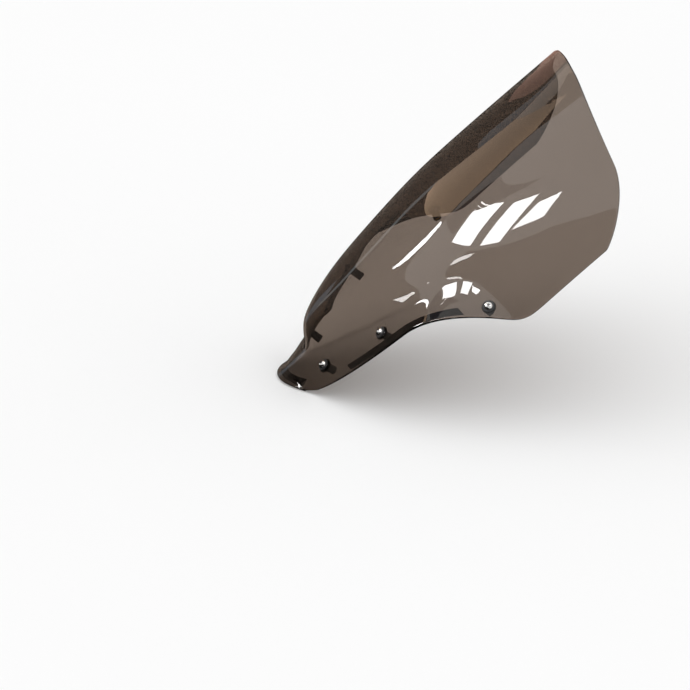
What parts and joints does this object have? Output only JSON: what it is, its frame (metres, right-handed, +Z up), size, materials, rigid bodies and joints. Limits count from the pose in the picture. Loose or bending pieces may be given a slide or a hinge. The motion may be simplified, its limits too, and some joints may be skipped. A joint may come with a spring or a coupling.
{
  "type": "motorcycle windscreen",
  "caption": "Double-bubble windscreen in smoked acrylic for a fully faired sports motorcycle, with its screws, collar washers, well nuts and foam seat cushions.",
  "frame": {"origin": "front tip of the nose tongue, on the panel's outer face and the centre plane", "axes": "+X to the rear of the motorcycle, +Y to the rider's right, +Z up, as the screen sits on the bike"},
  "size_m": [0.3529, 0.3988, 0.3642],
  "materials": {
    "tinted_acrylic": "clear thermoformed acrylic, 3 mm, warm brown-grey smoke tint, flame-polished edges, high gloss",
    "stainless_screw": "stainless steel, turned head with a bright satin finish",
    "black_nylon": "moulded black nylon, fine satin",
    "black_rubber": "moulded black neoprene rubber, matt",
    "brass_insert": "machined brass, lightly dulled",
    "foam": "closed-cell self-adhesive foam, matt charcoal"
  },
  "bodies": {
    "root": {"screen_panel": "tinted_acrylic", "nose_cushion": "foam", "side_cushion_left": "foam", "side_cushion_right": "foam", "fixing_screw_front_left": "stainless_screw", "fixing_screw_front_right": "stainless_screw", "fixing_screw_middle_left": "stainless_screw", "fixing_screw_middle_right": "stainless_screw", "fixing_screw_rear_left": "stainless_screw", "fixing_screw_rear_right": "stainless_screw", "collar_washer_front_left": "black_nylon", "collar_washer_front_right": "black_nylon", "collar_washer_middle_left": "black_nylon", "collar_washer_middle_right": "black_nylon", "collar_washer_rear_left": "black_nylon", "collar_washer_rear_right": "black_nylon", "well_nut_front_left": "black_rubber", "well_nut_front_right": "black_rubber", "well_nut_middle_left": "black_rubber", "well_nut_middle_right": "black_rubber", "well_nut_rear_left": "black_rubber", "well_nut_rear_right": "black_rubber", "thread_insert_front_left": "brass_insert", "thread_insert_front_right": "brass_insert", "thread_insert_middle_left": "brass_insert", "thread_insert_middle_right": "brass_insert", "thread_insert_rear_left": "brass_insert", "thread_insert_rear_right": "brass_insert"}
  },
  "joints": []
}
